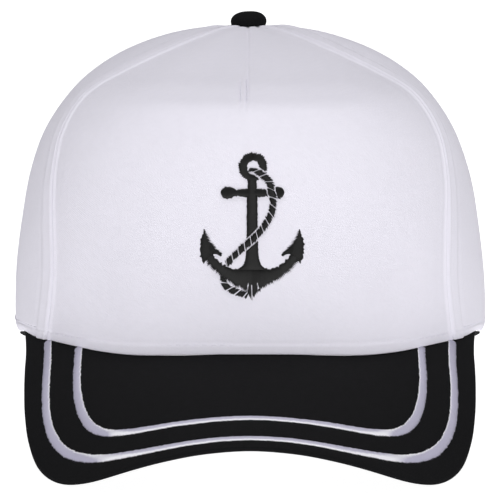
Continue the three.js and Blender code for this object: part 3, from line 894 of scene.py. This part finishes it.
def emblem_bearing(x, climb):
    """The bearing at which the front panel is x to the side."""
    _, half, fore, _, _, square, _, _ = np.moveaxis(spline(SECTIONS, climb), -1, 0)
    inside = (1 - (np.abs(x) / (half * CROWN_HALF)) ** square) ** (1 / square)
    return np.degrees(np.arctan2(x, fore * CROWN_FORE * inside))


def on_front(places, out):
    """A place on the front panel, from a side and a height up the emblem in millimetres."""
    x = EMBLEM_SHIFT + places[..., 0]
    climb = climb_at(EMBLEM_RISE + places[..., 1])
    return crown_point(emblem_bearing(x, climb), climb, out + EMBLEM_SEAT)


# Anchor and rope in millimetres from the anchor's foot: side, up
RING = {"centre": np.array([0.38, 44.7]), "outer": 4.9, "inner": 2.1}
ROPE = np.array([
    [-1.5, 43.7], [0.1, 43.8], [1.5, 43.3], [3.0, 42.3], [4.9, 40.9], [6.4, 38.6], [6.7, 36.2],
    [7.4, 33.6], [7.2, 30.7], [6.5, 28.3], [4.8, 25.1], [3.0, 22.7], [0.8, 20.4], [-1.1, 18.7],
    [-3.8, 16.4], [-6.3, 14.0], [-9.1, 11.2],
])
ROPE_END = np.array([
    [-10.3, 7.6], [-9.9, 5.6], [-9.2, 4.0], [-7.7, 2.8], [-5.7, 1.9], [-3.3, 1.1], [-1.0, 0.7],
])
ROPE_HALF = 1.15
ROPE_TURN = 2.9
ROPE_GAP = (0.4, 0.55)
FLUKE = {
    "outer": np.array([[-16.6, 23.3], [-17.6, 20.0], [-18.05, 16.8], [-17.8, 14.0],
                       [-16.8, 11.3]]),
    "inner": np.array([[-16.4, 23.3], [-14.8, 19.6], [-13.2, 17.3], [-11.7, 15.7],
                       [-10.2, 14.2]]),
    "bow": np.array([[0], [0.1], [0.3], [0.9], [1.9]]),
}
ARM = {
    "outer": np.array([[-16.4, 13.3], [-15.0, 11.2], [-12.7, 8.8], [-9.7, 6.5], [-6.9, 4.8],
                       [-4.0, 3.2], [-1.9, 1.5], [-0.6, 0.0], [0.0, -1.0]]),
    "inner": np.array([[-13.3, 14.7], [-12.4, 13.2], [-10.3, 11.3], [-8.0, 10.1], [-5.75, 9.7],
                       [-3.6, 9.7], [-2.0, 9.9], [-0.8, 10.0], [0.0, 10.0]]),
}
SLITS = np.array([[[0.05, -0.4], [-0.1, 4.2]], [[-1.6, 2.2], [-1.2, 4.8]],
                  [[2.3, 2.9], [1.9, 4.6]]])
SLIT_GAP = (0.05, 0.22)

# Shank: up, half width. Stock: side, half height.
SHANK = np.array([
    [40.2, 1.5], [36.0, 1.65], [33.0, 1.85], [22.0, 1.95], [17.0, 2.1], [13.2, 2.4], [11.3, 3.0],
    [10.2, 4.1], [9.3, 5.7],
])
SHANK_SIDE = 0.1
STOCK = np.array([[0.0, 1.4], [3.0, 1.35], [5.2, 1.1], [6.3, 1.4], [7.2, 1.85], [8.6, 2.1],
                  [9.7, 1.85], [10.4, 1.15], [10.8, 0.35]])
STOCK_UP = 35.8
STOCK_RIGHT = 1.04  # the stock's right half is a little longer
OTHER_SIDE = np.array([-1.0, 1.0])


def resampled(table, count=60):
    return spline(table, np.linspace(0, 1, count))


def path_distance(places, path):
    gaps = places[..., None, :] - path
    return np.sqrt((gaps**2).sum(-1)).min(-1)


def clear_of_rope(places):
    distance = path_distance(places, resampled(ROPE[1:], 160))
    return step(distance, ROPE_HALF + ROPE_GAP[0], ROPE_HALF + ROPE_GAP[1])


def clear_of_slits(places):
    shares = np.linspace(0, 1, 30)[:, None]
    gaps = [path_distance(places, low + (high - low) * shares) for low, high in SLITS]
    return step(np.min(gaps, axis=0), *SLIT_GAP)


def sewn(name, a, b, **options):
    return satin(name, a, b, on_front, black_thread, **options)


def ring():
    turn = np.linspace(0, 2 * np.pi, 120)
    direction = np.stack([np.sin(turn), np.cos(turn)], -1)
    return sewn("anchor_ring_satin", RING["centre"] + direction * RING["inner"],
                RING["centre"] + direction * RING["outer"], keep_clear=clear_of_rope,
                height=0.55, pitch=0.55, teeth=(0.0, 0.4), ragged=0.12, columns=15)


def shank():
    up, half = resampled(SHANK)[:, :1], resampled(SHANK)[:, 1:]
    return sewn("anchor_shank_satin", np.hstack([SHANK_SIDE - half, up]),
                np.hstack([SHANK_SIDE + half, up]), keep_clear=clear_of_rope, height=0.7,
                teeth=(0.1, 0.1), columns=25)


def stock(name, side):
    x, half = side * resampled(STOCK)[:, :1], resampled(STOCK)[:, 1:]
    return sewn(name, np.hstack([x, STOCK_UP - half]), np.hstack([x, STOCK_UP + half]),
                keep_clear=clear_of_rope, height=0.65, teeth=(0.15, 0.15), ragged=0.1, columns=15)


def fluke(name, side):
    return sewn(name, resampled(FLUKE["outer"]) * side, resampled(FLUKE["inner"]) * side,
                bow=resampled(FLUKE["bow"])[:, 0], height=0.55, pitch=0.5, teeth=(0.1, 0.9),
                ragged=0.2, columns=15)


def arms():
    outer, inner = resampled(ARM["outer"]), resampled(ARM["inner"])
    return sewn("anchor_arms_satin", np.concatenate([outer, outer[:-1][::-1] * OTHER_SIDE]),
                np.concatenate([inner, inner[:-1][::-1] * OTHER_SIDE]), height=0.6, pitch=0.5,
                teeth=(0.9, 0.2), ragged=0.22, keep_clear=clear_of_slits, columns=31)


def rope(name, table):
    line = resampled(table, 160)
    half = ROPE_HALF * (0.62 + 0.38 * step(np.linspace(0, 1, 160), 0.06, 0.24))[:, None]
    border = sideways_of(line)[0] * half
    return sewn(name, line - border, line + border, pitch=0.36, height=0.6, slant=-0.7,
                twist=ROPE_TURN, teeth=(0.35, 0.35), ragged=0.18)


def emblem():
    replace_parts(ring(), "anchor_ring")
    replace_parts(shank(), "anchor_shank")
    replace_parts(stock("anchor_stock_left_satin", -1), "anchor_stock_left")
    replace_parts(stock("anchor_stock_right_satin", STOCK_RIGHT), "anchor_stock_right")
    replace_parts(arms(), "anchor_arms")
    fluke("anchor_fluke_left", np.array([1.0, 1.0]))
    fluke("anchor_fluke_right", OTHER_SIDE)
    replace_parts(rope("anchor_rope_satin", ROPE), "anchor_rope_upper", "anchor_rope_middle")
    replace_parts(rope("anchor_rope_end_satin", ROPE_END), "anchor_rope_lower")


# Stitch rows

# One stitch along its length: place, thickness, height of its middle
STITCH = np.array([[-0.5, 0.15, -0.9], [-0.46, 0.6, -0.35], [-0.34, 0.95, 0.25], [0, 1.0, 0.55],
                   [0.34, 0.95, 0.25], [0.46, 0.6, -0.35], [0.5, 0.15, -0.9]])
STITCH_SIDES = 6
ROW_SIDE = 2.8  # a row's distance from its seam
ROW_START = 4.5
ROW_END = 0.955
RIM_ROW = 4.4
FRONT_RIM_ROW = 3.3


def stitch_shape():
    """One stitch as a unit: x along it, y across it, z out of the cloth."""
    turns = np.linspace(0, 2 * np.pi, STITCH_SIDES + 1)[:-1]
    at, thick, lift = STITCH.T[..., None]
    points = np.stack([at + 0 * turns, thick * np.cos(turns), thick * np.sin(turns) + lift], -1)
    return points.reshape(-1, 3), tube_quads(len(STITCH), STITCH_SIDES)


UNIT_STITCH, UNIT_FACES = stitch_shape()


def stitch_row(points, normals, length=2.3, gap=0.8, radius=0.2):
    """Stitches along a line of points: their vertices and faces."""
    steps = np.linalg.norm(np.diff(points, axis=0), axis=1)
    travel = np.concatenate([[0], np.cumsum(steps)])
    count = int(travel[-1] // (length + gap))
    centres = (np.arange(count) + 0.5) * travel[-1] / count

    def at(values, where):
        return np.stack([np.interp(where, travel, column) for column in values.T], -1)

    way = at(points, centres + length / 2) - at(points, centres - length / 2)
    way /= np.linalg.norm(way, axis=1, keepdims=True)
    out = at(normals, centres)
    out /= np.linalg.norm(out, axis=1, keepdims=True)
    across = np.cross(out, way)
    way = way + across * random.normal(0, 0.03, count)[:, None]
    x, y, z = (UNIT_STITCH * [length, radius, radius]).T[..., None]
    vertices = at(points, centres)[:, None] + way[:, None] * x + across[:, None] * y
    vertices = vertices + out[:, None] * z
    faces = UNIT_FACES + (np.arange(count) * len(UNIT_STITCH))[:, None, None]
    return vertices.reshape(-1, 3), faces.reshape(-1, 4)


def make_stitches(name, rows, material):
    points, faces, start = [], [], 0
    for vertices, row_faces in rows:
        points.append(vertices)
        faces.append(row_faces + start)
        start += len(vertices)
    points = np.concatenate(points)
    return make_object(name, points, np.concatenate(faces).tolist(), material, points[:, [0, 2]])


def crown_row(bearings, climbs, out, **options):
    points = crown_point(bearings, climbs, out)
    return stitch_row(points, crown_normal(bearings, climbs), **options)


def beside_seam(seam, offset, side, low, out):
    """A stitch row at a distance beside a seam, from a climb up to the row's end."""
    climbs = np.linspace(low, ROW_END, 260)
    around = crown_face(seam(climbs) * side, climbs)
    next_to = crown_face((seam(climbs) + 1) * side, climbs)
    per_degree = np.linalg.norm(next_to - around, axis=1)
    return crown_row((seam(climbs) + offset / per_degree) * side, climbs, out)


def rim_row(start, end, rise, out):
    bearings = np.linspace(start, end, 300)
    return crown_row(bearings, climb_at(rise) + 0 * bearings, out)


def white_stitches():
    low = float(climb_at(ROW_START))
    over_arch = float(climb_at(ARCH_HEIGHT + 8))
    rows = []
    for side in (-1, 1):
        rows.append(beside_seam(back_seam, -ROW_SIDE, side, low, -0.18))
        rows.append(beside_seam(back_seam, ROW_SIDE, side, low, -0.18))
        rows.append(beside_seam(rear_seam, -ROW_SIDE, side, over_arch, -0.05))
        rows.append(rim_row(side * 52, side * 107, RIM_ROW, -0.05))
        rows.append(rim_row(side * 111, side * 150, RIM_ROW, -0.05))
    rows.append(rim_row(-46, 46, FRONT_RIM_ROW, 0.0))
    climbs = climb_at(np.linspace(84, 95, 60))
    for x in DART_SIDES:
        rows.append(crown_row(emblem_bearing(x, climbs), climbs, -0.35, length=1.8, gap=0.6))
    make_stitches("seam_stitches", rows, white_thread)


# Floor, light and camera

FLOOR_SIZE = 40
FLOOR_COLOR = (0.5, 0.5, 0.5)
FLOOR_ROUGHNESS = 0.95
FLOOR_GLOW = 0.94
WORLD_COLOR = (0.96, 0.97, 1.0, 1)
WORLD_STRENGTH = 0.15

# The camera stands where the photo's did in the cap's own frame
CAMERA_AHEAD = 1100.0
CAMERA_HEIGHT = 115.0
FOCAL_PIXELS = 2908.5
HORIZON_PIXELS = 228.6  # the horizon's height over the middle of the picture
PHOTO_WIDTH = 500.0
SENSOR_WIDTH = 36.0


def stage():
    bpy.ops.mesh.primitive_plane_add(size=FLOOR_SIZE, location=(0, 0, -FLOOR_DROP / 1000))
    floor = bpy.context.object
    floor.name = "floor"
    paper, shader = node_material("floor_paper", FLOOR_COLOR, FLOOR_ROUGHNESS)
    shader.inputs["Emission Color"].default_value = (1, 1, 1, 1)
    shader.inputs["Emission Strength"].default_value = FLOOR_GLOW
    floor.data.materials.append(paper)


def area_light(name, location, target, size, power):
    data = bpy.data.lights.new(name, "AREA")
    data.shape = "RECTANGLE"
    data.size, data.size_y = size
    data.energy = power
    light = bpy.data.objects.new(name, data)
    light.location = location
    aim = Vector(target) - Vector(location)
    light.rotation_euler = aim.to_track_quat("-Z", "Y").to_euler()
    bpy.context.scene.collection.objects.link(light)


def lights():
    world = bpy.data.worlds.new("studio")
    world.use_nodes = True
    background = world.node_tree.nodes["Background"]
    background.inputs["Color"].default_value = WORLD_COLOR
    background.inputs["Strength"].default_value = WORLD_STRENGTH
    bpy.context.scene.world = world
    area_light("key", (0.12, -2.3, 0.3), target=(0, 0, 0.06), size=(0.7, 0.5), power=25)
    area_light("top", (0.05, 0.2, 2.2), target=(0, 0, 0), size=(1.5, 1.5), power=30)


def camera():
    data = bpy.data.cameras.new("camera")
    data.sensor_width = SENSOR_WIDTH
    data.lens = SENSOR_WIDTH * FOCAL_PIXELS / PHOTO_WIDTH
    eye = bpy.data.objects.new("camera", data)
    cos, sin = math.cos(REST_TILT), math.sin(REST_TILT)
    y = CAMERA_HEIGHT * sin - CAMERA_AHEAD * cos + REST_SHIFT[1]
    z = CAMERA_HEIGHT * cos + CAMERA_AHEAD * sin + REST_SHIFT[2]
    eye.location = (0, y / 1000, z / 1000)
    pitch = math.atan(HORIZON_PIXELS / FOCAL_PIXELS)
    eye.rotation_euler = (math.pi / 2 - REST_TILT - pitch, 0, 0)
    bpy.context.scene.collection.objects.link(eye)
    bpy.context.scene.camera = eye


camera()
lights()
stage()
bpy.context.scene.view_settings.view_transform = "Standard"

front_panel()
for side in (-1, 1):
    side_panel(side)
    back_panel(side)
sweatband()
back_strap()
button()
peak()
stripe("peak_stripe_outer", OUTER_STRIPE)
stripe("peak_stripe_inner", INNER_STRIPE)
emblem()
white_stitches()
